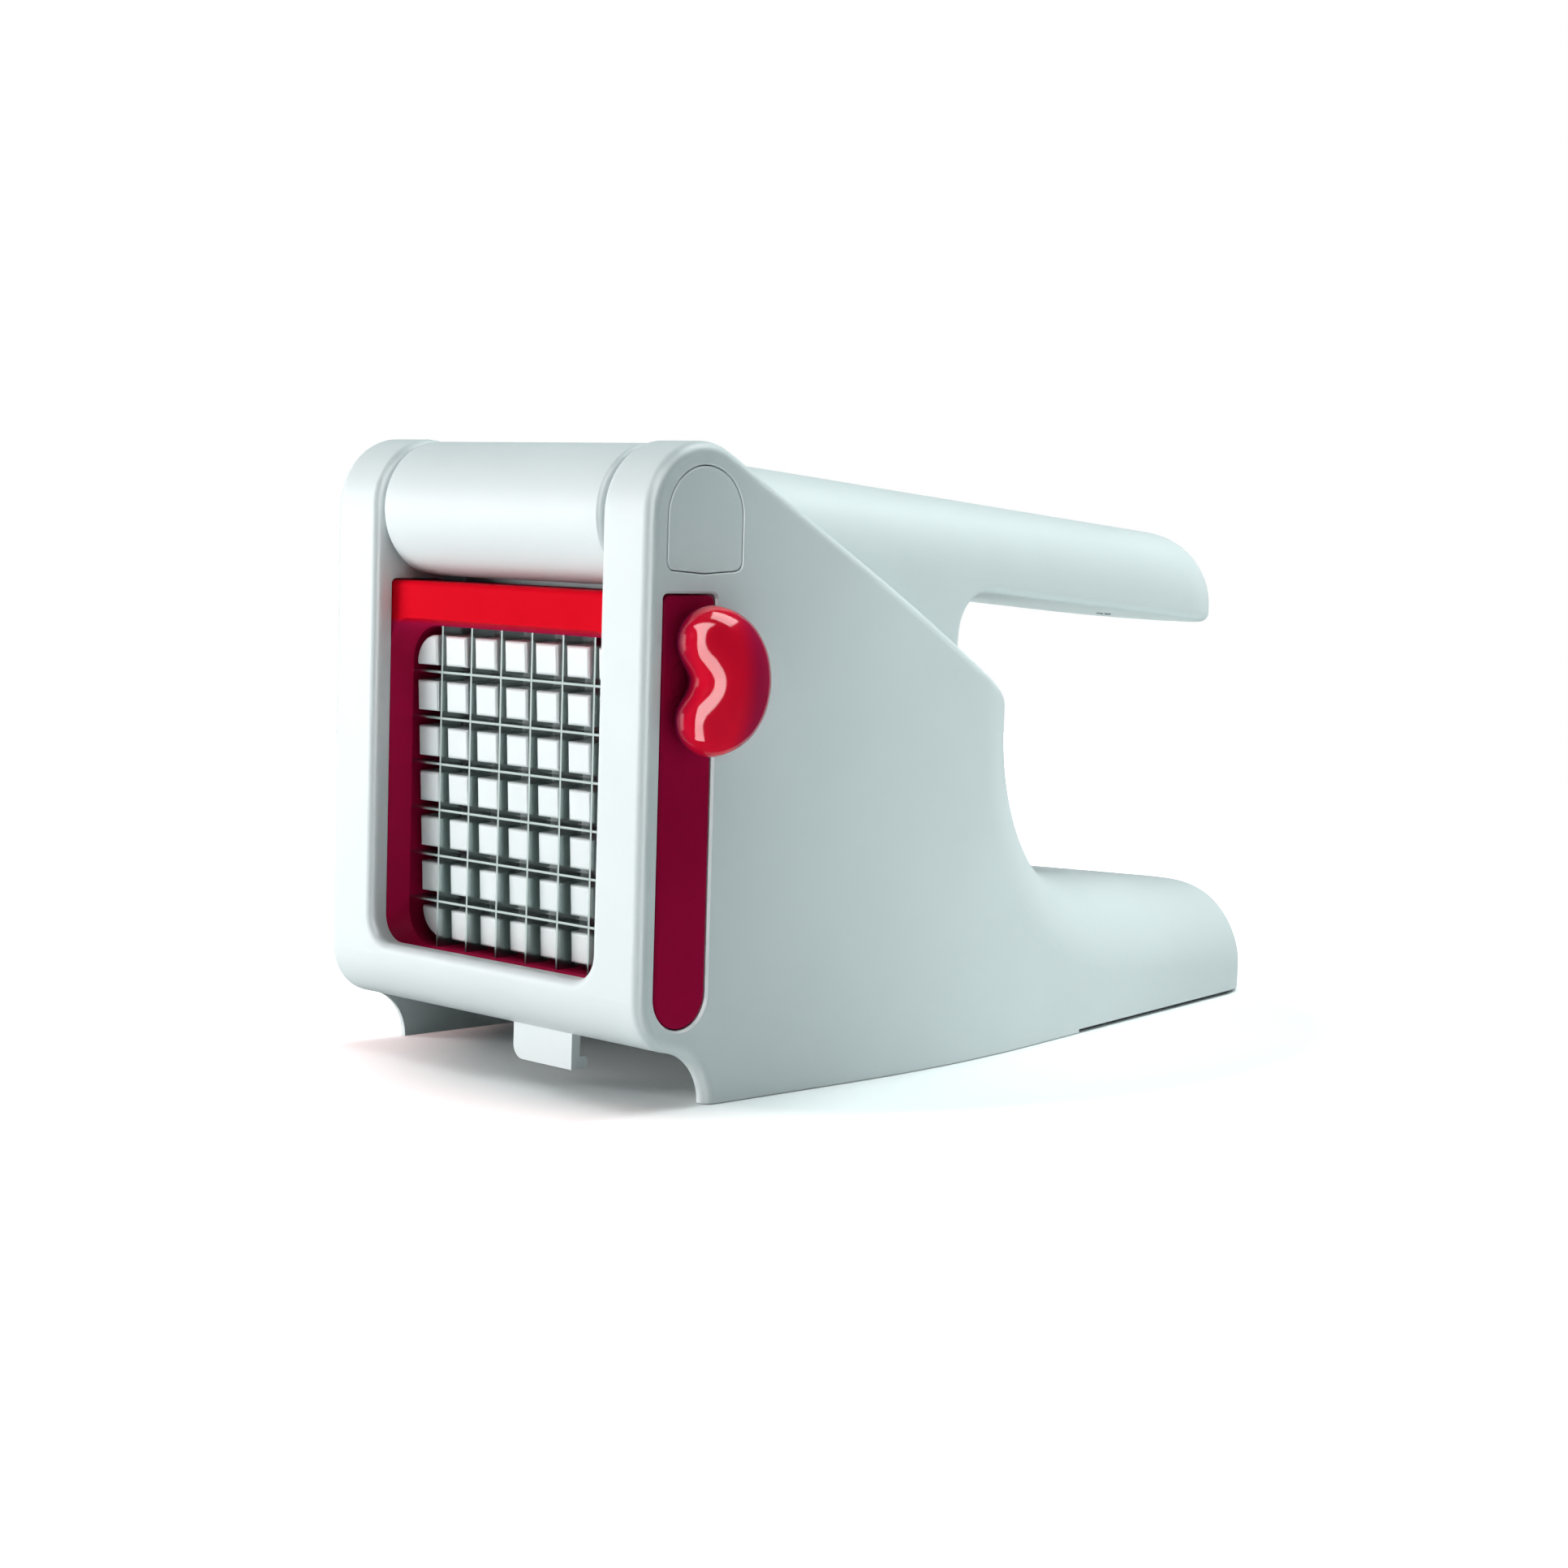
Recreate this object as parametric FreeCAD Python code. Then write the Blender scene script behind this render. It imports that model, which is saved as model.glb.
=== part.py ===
import FreeCAD, Part
import math
import os
from FreeCAD import Vector

# Lever-operated chip cutter: a standing body, a slide-in blade cassette and a lever that swings a
# toothed pusher through the blades.
# Sizes are millimetres. While it is modelled, X runs across from the centre plane, Y rearward from the
# front face and Z up from the floor. The last step moves the origin to the middle of the footprint.

# Blade grid: the size of one chip sets the scale of the whole object
cell_pitch = 10.0
cell_count = 7
blade_thickness = 0.5
blade_depth = 6.2
blade_bevel = 1.2
blade_anchor = 3.0
blade_gap = 0.04

# Body
body_width = 102.7
shell_wall = 3.0
front_wall = 4.2
rail_bottom = 11.8
rail_thickness = 4.2
rail_round = 11.0
foot_front = 19.4
foot_arc = 11.4
window_lip = 0.6
window_corner = 6.0
window_edge_round = 2.0
chamber_margin = 1.4
chamber_floor_drop = 0.5
chamber_corner = 8.0
outer_edge_round = 2.5
crease_angle = 25.0
slot_bevel = 0.5
slot_corner = 1.2

# Ears, sloping rim and rear wall
barrel_clearance = 1.0
ear_radius = 15.1
rim_slope = 28.8
rear_wall_y = 124.0
ear_block_depth = 34.0
ear_block_drop = 23.4

# Tail
side_arc_start = 60.0
side_arc_radius = 341.0
tail_end_y = 251.0
tail_end_radius = 24.0
tail_end_height = 28.6
tail_slope = 6.2
tail_blend = 38.0
rear_edge_round = 21.0
foot_strip_start = 152.0
foot_strip_height = 0.8
foot_strip_inset = 1.2

# Hook under the front rail
hook_left = 3.5
hook_right = 22.3
hook_front_y = 8.0
hook_bottom = 4.0
hook_thickness = 2.3
hook_barb = 2.2
hook_barb_height = 2.6
hook_corner = 3.0

# Axle and its caps
axle_radius = 3.0
axle_end_gap = 0.15
running_gap = 0.05
seat_gap = 0.02
cap_radius = 10.4
cap_bottom_drop = 10.8
cap_bottom_vee = 0.7
cap_corner = 2.0
cap_depth = 3.0
cap_parting = 0.25
cap_edge_round = 0.4
cap_recess_bevel = 0.2

# Cassette
cassette_gap = 0.3
cassette_thickness = 13.7
cassette_top_margin = 9.7
cassette_bottom_margin = 7.8
cassette_tongue = 5.2
cassette_split = 5.0
cassette_corner = 1.2
end_plate_thickness = 7.0
end_plate_recess = 0.2
end_plate_corner = 1.5
end_plate_edge_round = 0.7
mouth_corner = 8.0
mouth_flare = 1.6
mouth_flare_corner = 6.0
cassette_screw_inset_z = 6.0
cassette_screw_head_sink = 2.2

# Pull knob
knob_drop = 17.0
knob_path_radius = 9.2
knob_tube_radius = 5.2
knob_leg_length = 4.4
knob_standoff = 2.5
knob_web_low = 4.2
knob_web_high = 3.2
knob_notch_radius = 8.0
knob_notch_centre = 9.5
knob_stem_radius = 4.5
knob_stem_depth = 5.0

# Lever
barrel_step = 0.5
lever_side_gap = 1.2
barrel_edge_round = 1.0
lever_wall = 2.6
grip_droop = 4.48
grip_thickness = 21.5
grip_end_y = 233.0
grip_end_radius = 24.0
grip_edge_round = 18.5
grip_rim_round = 2.2
grip_taper_start = 40.0
neck_radius = 10.0
cheek_rear_gap = 3.0
cheek_corner_height = 20.0
cheek_bottom_depth = 15.1
cheek_bottom_lift = 8.0
cover_thickness = 2.4
cover_gap = 0.15
cover_screw_front_inset = 22.0
cover_screw_rear_inset = 28.0
boss_radius = 4.0

# Pusher
pusher_tilt = 2.77
tooth_side_gap = 1.15
tooth_rise_gap = 1.45
tooth_front_recess = 3.15
tooth_edge_round = 0.7
tooth_outer_corner = 6.4
plate_front_gap = 0.7
plate_thickness = 4.0
plate_edge_gap = 0.9
plate_top_margin = 8.9
plate_bottom_margin = 2.2
bulkhead_thickness = 3.0
pusher_screw_side_inset = 11.2
pusher_screw_low_inset = 15.7
pusher_screw_high_inset = 11.0
pusher_screw_cover = 0.8

# Screws
screw_head_radius = 2.6
screw_head_height = 1.8
screw_shank_radius = 1.2
screw_slot_width = 0.7
screw_slot_depth = 0.9
small_screw_scale = 0.72
grip_head_proud = 0.26

# Values worked out from the driving dimensions
grid_half = cell_count * cell_pitch / 2
channel_bottom = rail_bottom + rail_thickness
cassette_bottom = channel_bottom + cassette_gap
grid_bottom = cassette_bottom + cassette_bottom_margin
grid_centre_z = grid_bottom + grid_half
grid_top = grid_centre_z + grid_half
cassette_top = grid_top + cassette_top_margin
window_bottom = grid_bottom + window_lip
chamber_floor = grid_bottom - chamber_floor_drop
chamber_half = grid_half + chamber_margin
body_half = body_width / 2
axle_y = ear_radius
barrel_radius = ear_radius - barrel_step
axle_height = cassette_top + barrel_clearance + barrel_radius
ear_block_bottom = axle_height - ear_block_drop
lever_half = chamber_half - lever_side_gap
cassette_front = front_wall + cassette_gap
cassette_back = cassette_front + cassette_thickness
cassette_mid_y = (cassette_front + cassette_back) / 2
cassette_left = -grid_half - cassette_tongue
blade_front = cassette_front + cassette_split
channel_back = cassette_back + cassette_gap
channel_top = cassette_top + cassette_gap
channel_left = cassette_left - cassette_gap
knob_centre_z = cassette_top - knob_drop
tooth_width = cell_pitch - blade_thickness - 2 * tooth_side_gap
tooth_height = cell_pitch - blade_thickness - 2 * tooth_rise_gap
tooth_front_y = cassette_front + tooth_front_recess
plate_front_y = cassette_back + plate_front_gap
plate_back_y = plate_front_y + plate_thickness
plate_bottom_z = grid_bottom + plate_bottom_margin
plate_top_z = grid_top + plate_top_margin
barrel_top = axle_height + barrel_radius
grip_bottom = barrel_top - grip_thickness
cheek_rear_y = rear_wall_y - shell_wall - cheek_rear_gap
cheek_bottom_y = plate_back_y + cheek_bottom_depth
cover_start_y = cheek_rear_y + neck_radius
cover_screw_ys = (cover_start_y + cover_screw_front_inset, grip_end_y - cover_screw_rear_inset)
axle_centre = Vector(0, axle_y, axle_height)
# How far a cutting block passes through the body, how far one reaches past a face that it opens,
# and how far apart two measures may be and still count as the same
beyond = 60.0
spill = 1.0
tolerance = 0.05


def box(x0, x1, y0, y1, z0, z1):
    return Part.makeBox(x1 - x0, y1 - y0, z1 - z0, Vector(x0, y0, z0))


def line(a, b):
    return Part.LineSegment(a, b).toShape()


def arc(centre, radius, start, end, plane):
    """An arc edge in the 'xy' or 'yz' plane, from the start angle to the end angle in degrees."""
    points = []
    for angle in (start, (start + end) / 2, end):
        u = radius * math.cos(math.radians(angle))
        v = radius * math.sin(math.radians(angle))
        points.append(centre + (Vector(u, v, 0) if plane == "xy" else Vector(0, u, v)))
    return Part.Arc(*points).toShape()


def joined(edges):
    """Fill the straight gaps between edges given in order, and return the closed face."""
    run = []
    for index, edge in enumerate(edges):
        following = edges[(index + 1) % len(edges)]
        run.append(edge)
        a = edge.valueAt(edge.LastParameter)
        b = following.valueAt(following.FirstParameter)
        if a.distanceToPoint(b) > 1e-6:
            run.append(line(a, b))
    return Part.Face(Part.Wire(run))


def polygon(points):
    return Part.Face(Part.makePolygon(points + [points[0]]))


def across(face, x0, x1):
    """Extrude a face drawn at X = 0 from x0 to x1."""
    solid = face.extrude(Vector(x1 - x0, 0, 0))
    solid.translate(Vector(x0, 0, 0))
    return solid


def rounded_rectangle(half_x, low_z, high_z, radius, y):
    """A face in the XZ plane at the given Y, with all four corners rounded."""
    slab = box(-half_x, half_x, y, y + 1, low_z, high_z)
    rounded = slab.makeFillet(radius, [edge for edge in slab.Edges if edge.BoundBox.YLength > 0.5])
    return min(rounded.Faces, key=lambda face: face.CenterOfMass.y)


def cylinder(radius, length, start, direction):
    return Part.makeCylinder(radius, length, start, direction)


def mirrored(shape):
    return shape.mirror(Vector(0, 0, 0), Vector(1, 0, 0))


def turned(shape, degrees):
    """A copy turned about the axle, raising the grip for positive angles."""
    copy = shape.copy()
    copy.rotate(axle_centre, Vector(1, 0, 0), degrees)
    return copy


# Body outline


def plan_prism(inset, bottom, height):
    """The body seen from above: straight sides, a long arc inwards and a rounded tongue."""
    half = body_half - inset
    radius = side_arc_radius - inset
    end_radius = tail_end_radius - inset
    side_centre = Vector(half - radius, side_arc_start, bottom)
    end_centre = Vector(0, tail_end_y - tail_end_radius, bottom)
    reach = end_centre - side_centre
    lean = math.degrees(math.atan2(reach.y, reach.x) - math.acos((radius - end_radius) / reach.Length))
    corner = Vector(half, inset, bottom)
    right = arc(side_centre, radius, 0, lean, "xy")
    end = arc(end_centre, end_radius, lean, 180 - lean, "xy")
    left_centre = Vector(-side_centre.x, side_centre.y, bottom)
    left = arc(left_centre, radius, 180 - lean, 180, "xy")
    front = line(Vector(-half, inset, bottom), corner)
    return joined([front, right, end, left]).extrude(Vector(0, 0, height))


def rear_profile_prism(inset, bottom, height):
    """The body seen from the side below its sloping rim: rear wall, concave blend and tail."""
    rear = rear_wall_y - inset
    blend = tail_blend + inset
    slope = math.radians(tail_slope)
    end_centre_y = tail_end_y - tail_end_radius
    far_y = tail_end_y + beyond

    def tail_line(y):
        return tail_end_height - inset / math.cos(slope) - math.tan(slope) * (y - end_centre_y)

    centre_y = rear + blend
    centre = Vector(0, centre_y, tail_line(centre_y) + blend / math.cos(slope))
    curve = arc(centre, blend, 180, 270 - tail_slope, "yz")
    wall_top = line(Vector(0, inset, height), Vector(0, rear, height))
    tail_end = line(Vector(0, far_y, tail_line(far_y)), Vector(0, far_y, bottom))
    front = line(Vector(0, inset, bottom), Vector(0, inset, height))
    return across(joined([front, wall_top, curve, tail_end]), -body_width, body_width)


def rounded_block(inset):
    """Plan and side outline together, with the rear corners and the tail's edges rounded in one run."""
    bottom = -inset - spill
    top = axle_height + ear_radius + beyond
    block = rear_profile_prism(inset, bottom, top).common(plan_prism(inset, bottom, top - bottom))
    rounded = []
    for edge in block.Edges:
        bounds = edge.BoundBox
        central = abs(edge.CenterOfMass.x) < tail_end_radius / 2
        across_middle = central and bounds.YMin < tail_end_y - 2 * tail_end_radius
        in_front = bounds.YMin < rear_wall_y - inset - tolerance
        level = bounds.ZLength < tolerance
        if not (in_front or across_middle or level or bounds.ZMin < tolerance):
            rounded.append(edge)
    return block.makeFillet(rear_edge_round - inset, rounded)


def above_rim(inset):
    """Everything over the ears and the sloping rim, to be cut away."""
    radius = ear_radius - inset
    slope = math.radians(rim_slope)
    far_y = rear_wall_y + tail_blend / 2
    far_z = axle_height + (radius - (far_y - axle_y) * math.sin(slope)) / math.cos(slope)
    ear = arc(axle_centre, radius, 180, 90 - rim_slope, "yz")
    top = axle_height + ear_radius + 2 * beyond
    far = line(Vector(0, far_y, far_z), Vector(0, far_y, top))
    near = line(Vector(0, -beyond, top), Vector(0, -beyond, axle_height))
    return across(joined([ear, far, near]), -body_width, body_width)


def below_feet():
    """The space under the front: a convex turn under the rail, then a concave run down to each foot."""
    hollow = Vector(0, foot_front - foot_arc, 0)
    aside = rail_round - hollow.y
    turn = Vector(0, rail_round, math.sqrt((rail_round + foot_arc) ** 2 - aside ** 2))
    lean = math.degrees(math.asin(aside / (rail_round + foot_arc)))
    convex = arc(turn, rail_round, 180, 270 - lean, "yz")
    concave = arc(hollow, foot_arc, 90 - lean, 0, "yz")
    far = line(Vector(0, tail_end_y + beyond, 0), Vector(0, tail_end_y + beyond, -beyond))
    near = line(Vector(0, -beyond, -beyond), Vector(0, -beyond, turn.z))
    return across(joined([convex, concave, far, near]), -body_width, body_width)


def face_angle(shape, edge):
    """How sharply the two faces beside an edge turn, in degrees."""
    middle = edge.valueAt((edge.FirstParameter + edge.LastParameter) / 2)
    normals = []
    for face in shape.ancestorsOfType(edge, Part.Face):
        u, v = face.Surface.parameter(middle)
        normals.append(face.normalAt(u, v))
    return math.degrees(normals[0].getAngle(normals[-1]))


def outer_body():
    """The outside of the body with the window and the way over the barrel opened, all edges softened."""
    body = rounded_block(0.0).cut(above_rim(0.0)).cut(below_feet())
    creases = []
    for edge in body.Edges:
        on_floor = edge.BoundBox.ZMax < tolerance
        if not on_floor and face_angle(body, edge) > crease_angle:
            creases.append(edge)
    body = body.makeFillet(outer_edge_round, creases)
    # A slot from the window over the ears and along the rim, so that its edge is rounded in one run
    slot_back = rear_wall_y - shell_wall - chamber_corner - spill
    top = axle_height + 2 * beyond
    window = rounded_rectangle(chamber_half, window_bottom, top, window_corner, -beyond)
    body = body.cut(window.extrude(Vector(0, beyond + slot_back, 0)))
    run = []
    for edge in body.Edges:
        bounds = edge.BoundBox
        in_front = bounds.YMax < tolerance and bounds.ZMin > window_bottom - tolerance
        beside = abs(abs(edge.CenterOfMass.x) - chamber_half) < tolerance
        flat = bounds.XLength < tolerance
        over_top = beside and flat and bounds.YLength > spill and bounds.ZLength > spill
        if over_top or (in_front and abs(edge.CenterOfMass.x) < chamber_half + tolerance):
            run.append(edge)
    return body.makeFillet(window_edge_round, run)


def chamber(inset, floor):
    """The space that holds a potato, open at the top; a negative inset gives the outside of its tub."""
    half = chamber_half - inset
    rear = rear_wall_y - shell_wall - inset
    block = box(-half, half, channel_back + inset, rear, floor, axle_height + beyond)
    corners = [
        edge for edge in block.Edges
        if edge.BoundBox.ZLength > spill and edge.BoundBox.YMin > rear - tolerance
    ]
    return block.makeFillet(chamber_corner - inset, corners)


def u_section(front, back, bottom, top):
    """A section with a fully rounded bottom, drawn at X = 0."""
    radius = (back - front) / 2
    curve = arc(Vector(0, (front + back) / 2, bottom + radius), radius, 180, 360, "yz")
    top_edge = line(Vector(0, back, top), Vector(0, front, top))
    return joined([curve, top_edge])


def underside():
    """The moulding's hollow: the inner outline less the chamber's tub and the solid front frame."""
    hollow = rounded_block(shell_wall).cut(above_rim(shell_wall))
    tub = chamber(-shell_wall, chamber_floor - shell_wall)
    hollow = hollow.cut(tub)
    frame_back = channel_back + shell_wall
    hollow = hollow.cut(box(-body_half, body_half, -beyond, frame_back, rail_bottom, axle_height + beyond))
    ears = box(-body_half, body_half, -beyond, ear_block_depth, ear_block_bottom, axle_height + beyond)
    return hollow.cut(ears)


def cap_outline(gap):
    """The D of a hinge cap in the YZ plane, with a round top and a shallow vee at the bottom."""
    radius = cap_radius - gap
    low = axle_height - cap_bottom_drop + gap
    vee = Vector(0, axle_y, low - cap_bottom_vee)
    right = Vector(0, axle_y + radius, low)
    left = Vector(0, axle_y - radius, low)
    top = arc(axle_centre, radius, 0, 180, "yz")
    outline = joined([top, line(left, vee), line(vee, right)])
    prism = outline.extrude(Vector(cap_depth, 0, 0))
    corners = []
    for edge in prism.Edges:
        at_corner = abs(edge.CenterOfMass.z - low) < tolerance and edge.BoundBox.XLength > cap_depth / 2
        if at_corner and abs(edge.CenterOfMass.y - axle_y) > radius / 2:
            corners.append(edge)
    return prism.makeFillet(cap_corner, corners)


def hinge_cap():
    cap = cap_outline(cap_parting)
    cap.translate(Vector(body_half - cap_depth, 0, 0))
    shown_edges = [edge for edge in cap.Edges if edge.BoundBox.XMin > body_half - tolerance]
    return cap.makeFillet(cap_edge_round, shown_edges)


def front_hook():
    """The snap hook that hangs from the front rail, with a rounded barb pointing rearward."""
    back = hook_front_y + hook_thickness
    blade = box(hook_left, hook_right, hook_front_y, back, hook_bottom, rail_bottom + spill)
    edges = [
        edge for edge in blade.Edges
        if edge.BoundBox.YLength > hook_thickness / 2 and edge.BoundBox.ZMax < hook_bottom + tolerance
        and edge.BoundBox.XMax < hook_left + tolerance
    ]
    blade = blade.makeFillet(hook_corner, edges)
    radius = hook_barb_height / 2
    barb_y = back + hook_barb - radius
    barb_left = hook_left + hook_corner
    barb_start = back - hook_thickness / 2
    barb = box(barb_left, hook_right, barb_start, barb_y, hook_bottom, hook_bottom + hook_barb_height)
    nose_start = Vector(barb_left, barb_y, hook_bottom + radius)
    nose = cylinder(radius, hook_right - barb_left, nose_start, Vector(1, 0, 0))
    return blade.fuse([barb, nose]).removeSplitter()


def tail_strip(inset_out, inset_in, height):
    """A thin strip under the tail's rim, following the outline."""
    outside = plan_prism(inset_out, 0.0, height)
    inside = plan_prism(inset_in, 0.0, height)
    behind = box(-body_width, body_width, foot_strip_start, tail_end_y + beyond, 0, height)
    return outside.cut(inside).common(behind)


def slot_prism(grow, x0, x1):
    """The channel's U with its two top corners rounded, grown on all sides."""
    top = channel_top + grow
    section = u_section(front_wall - grow, channel_back + grow, channel_bottom - grow, top)
    prism = across(section, x0, x1)
    corners = [
        edge for edge in prism.Edges
        if edge.BoundBox.ZMin > top - tolerance and edge.BoundBox.XLength > slot_bevel / 2
    ]
    return prism.makeFillet(slot_corner + grow, corners)


def left_face(shape):
    return min(shape.Faces, key=lambda face: face.CenterOfMass.x)


def bevel_between(inner, outer, depth):
    """A bevel sunk in the right wall: outer is its outline on the wall and inner the one below."""
    low = left_face(inner)
    high = left_face(outer)
    low.translate(Vector(body_half - depth - low.CenterOfMass.x, 0, 0))
    high.translate(Vector(body_half - high.CenterOfMass.x, 0, 0))
    return Part.makeLoft([low.OuterWire, high.OuterWire], True, True)


def slot_bevel_cut():
    """A small bevel round the slot where the end plate shows in the right wall."""
    inner = slot_prism(0.0, body_half, body_width)
    outer = slot_prism(slot_bevel, body_half, body_width)
    return bevel_between(inner, outer, slot_bevel)


def housing():
    top = axle_height + beyond
    body = outer_body()
    body = body.cut(underside())
    body = body.cut(chamber(0.0, chamber_floor))
    # Room for the barrel, open towards the window
    body = body.cut(box(-chamber_half, chamber_half, -beyond, ear_block_depth, channel_top, top))
    # The channel that the cassette slides in, blind at the left and open through the right wall
    body = body.cut(slot_prism(0.0, channel_left, body_width))
    body = body.cut(slot_bevel_cut())
    # Axle seats and the recesses of their caps
    seat_start = Vector(-body_half, axle_y, axle_height)
    body = body.cut(cylinder(axle_radius + seat_gap, body_width, seat_start, Vector(1, 0, 0)))
    recess = cap_outline(0.0)
    recess.translate(Vector(body_half - cap_depth, 0, 0))
    bevel = bevel_between(cap_outline(0.0), cap_outline(-cap_recess_bevel), cap_recess_bevel)
    body = body.cut([recess, bevel, mirrored(recess), mirrored(bevel)])
    # The tail's rim stands on its foot strip
    body = body.cut(tail_strip(-spill, shell_wall + spill, foot_strip_height))
    return body.fuse(front_hook()).removeSplitter()


def tail_foot():
    return tail_strip(foot_strip_inset, shell_wall, foot_strip_height)


def hinge_axle():
    length = body_width - 2 * cap_depth - 2 * axle_end_gap
    return cylinder(axle_radius, length, Vector(-length / 2, axle_y, axle_height), Vector(1, 0, 0))


# Cassette


def cassette_block(x0, x1):
    return across(u_section(cassette_front, cassette_back, cassette_bottom, cassette_top), x0, x1)


def cassette_bar():
    """Both halves as one bar up to the end plate, with its top edges softened."""
    right = body_half - end_plate_thickness
    bar = cassette_block(cassette_left, right)
    top_edges = [
        edge for edge in bar.Edges
        if edge.BoundBox.ZMin > cassette_top - tolerance and edge.BoundBox.XMin < right - tolerance
    ]
    return bar.makeFillet(cassette_corner, top_edges)


def cassette_screw_places():
    left = -grid_half - cassette_tongue / 2
    right = (grid_half + body_half - end_plate_thickness) / 2
    low = grid_bottom + cassette_screw_inset_z
    high = grid_top - cassette_screw_inset_z
    return [Vector(x, cassette_back, z) for x in (left, right) for z in (low, high)]


def blade_places():
    return [(index - (cell_count - 2) / 2) * cell_pitch for index in range(cell_count - 1)]


def blade_section(gap):
    """A strip's section in the XY plane: a square front and an edge ground to a vee at the rear."""
    half = blade_thickness / 2 + gap
    back = blade_front + blade_depth + gap
    shoulder = back - blade_bevel
    return polygon([
        Vector(-half, blade_front, 0), Vector(half, blade_front, 0), Vector(half, shoulder, 0),
        Vector(0, back, 0), Vector(-half, shoulder, 0),
    ])


def blade_strip(gap):
    """One strip standing upright at X = 0, anchored in the frame at both ends."""
    length = 2 * (grid_half + blade_anchor + gap)
    strip = blade_section(gap).extrude(Vector(0, 0, length))
    strip.translate(Vector(0, 0, grid_centre_z - length / 2))
    return strip


def laid_down(shape):
    """Turn an upright strip about the grid's centre so that it lies across."""
    copy = shape.copy()
    copy.rotate(Vector(0, 0, grid_centre_z), Vector(0, 1, 0), 90)
    return copy


def lap_notches(y0, y1):
    """Notches at every crossing of an upright strip, for its half laps."""
    half = blade_thickness / 2 + blade_gap
    wide = blade_thickness * 2
    return [
        box(-wide, wide, y0, y1, grid_centre_z + z - half, grid_centre_z + z + half) for z in blade_places()
    ]


def upright_blade(x):
    middle = blade_front + blade_depth / 2
    strip = blade_strip(0.0).cut(lap_notches(middle - blade_gap / 2, middle + blade_depth))
    strip.translate(Vector(x, 0, 0))
    return strip


def cross_blade(z):
    middle = blade_front + blade_depth / 2
    strip = laid_down(blade_strip(0.0).cut(lap_notches(blade_front - blade_depth, middle + blade_gap / 2)))
    strip.translate(Vector(0, 0, z))
    return strip


def cassette_frame():
    """Rear half with the end plate that shows in the right wall."""
    plate_face = body_half - end_plate_recess
    plate_start = body_half - end_plate_thickness
    plate = cassette_block(plate_start, plate_face)
    corners = [
        edge for edge in plate.Edges
        if edge.BoundBox.ZMin > cassette_top - tolerance and edge.BoundBox.XLength > spill
    ]
    plate = plate.makeFillet(end_plate_corner, corners)
    shown_edges = [edge for edge in plate.Edges if edge.BoundBox.XMin > plate_face - tolerance]
    plate = plate.makeFillet(end_plate_edge_round, shown_edges)
    frame = cassette_bar().fuse(plate)
    left = cassette_left - spill
    frame = frame.cut(box(left, plate_start, -beyond, blade_front, 0, cassette_top + spill))
    opening = rounded_rectangle(grid_half, grid_bottom, grid_top, mouth_corner, -beyond)
    frame = frame.cut(opening.extrude(Vector(0, 2 * beyond, 0)))
    grooves = []
    for place in blade_places():
        upright = blade_strip(blade_gap)
        upright.translate(Vector(place, 0, 0))
        across_strip = laid_down(blade_strip(blade_gap))
        across_strip.translate(Vector(0, 0, place))
        grooves += [upright, across_strip]
    frame = frame.cut(grooves)
    frame = frame.cut([cassette_screw_hole(place) for place in cassette_screw_places()])
    stem = cylinder(knob_stem_radius + seat_gap, knob_stem_depth, knob_seat(), Vector(1, 0, 0))
    return frame.cut(stem).removeSplitter()


def cassette_cover():
    """Front half: its mouth flares towards the window and its back clamps the blades."""
    cover = cassette_bar()
    cover = cover.cut(box(cassette_left - spill, body_half, blade_front, beyond, 0, cassette_top + spill))
    inner = rounded_rectangle(grid_half, grid_bottom, grid_top, mouth_corner, blade_front)
    low = grid_bottom - mouth_flare
    high = grid_top + mouth_flare
    outer = rounded_rectangle(grid_half + mouth_flare, low, high, mouth_flare_corner, cassette_front)
    flare = Part.makeLoft([inner.OuterWire, outer.OuterWire], True, True)
    cover = cover.cut(flare)
    return cover.cut([cassette_screw_hole(place) for place in cassette_screw_places()]).removeSplitter()


def screw(scale, shank_length):
    """A slotted screw along -Y: the underside of its head is at the origin."""
    head = cylinder(screw_head_radius * scale, screw_head_height * scale, Vector(0, 0, 0), Vector(0, 1, 0))
    shank = cylinder(screw_shank_radius * scale, shank_length, Vector(0, 0, 0), Vector(0, -1, 0))
    slot_half = screw_slot_width * scale / 2
    top = screw_head_height * scale
    depth = screw_slot_depth * scale
    reach = screw_head_radius * scale + spill
    slot = box(-reach, reach, top - depth, top + spill, -slot_half, slot_half)
    return head.fuse(shank).cut(slot)


def screw_hole(scale, shank_length, head_sink):
    """The clearance for one screw, in the same place as screw()."""
    shank_radius = screw_shank_radius * scale + running_gap
    head_radius = screw_head_radius * scale + running_gap
    shank = cylinder(shank_radius, shank_length + running_gap, Vector(0, 0, 0), Vector(0, -1, 0))
    head = cylinder(head_radius, head_sink, Vector(0, 0, 0), Vector(0, 1, 0))
    return shank.fuse(head)


def cassette_screw_length():
    return cassette_thickness - cassette_screw_head_sink - cassette_split / 3


def cassette_screw_hole(place):
    hole = screw_hole(small_screw_scale, cassette_screw_length(), cassette_screw_head_sink + spill)
    hole.translate(place - Vector(0, cassette_screw_head_sink, 0))
    return hole


def cassette_screws():
    screws = []
    for place in cassette_screw_places():
        one = screw(small_screw_scale, cassette_screw_length())
        one.translate(place - Vector(0, cassette_screw_head_sink, 0))
        screws.append(one)
    return Part.makeCompound(screws)


def knob_seat():
    return Vector(body_half - end_plate_recess - knob_stem_depth, cassette_mid_y, knob_centre_z)


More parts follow.
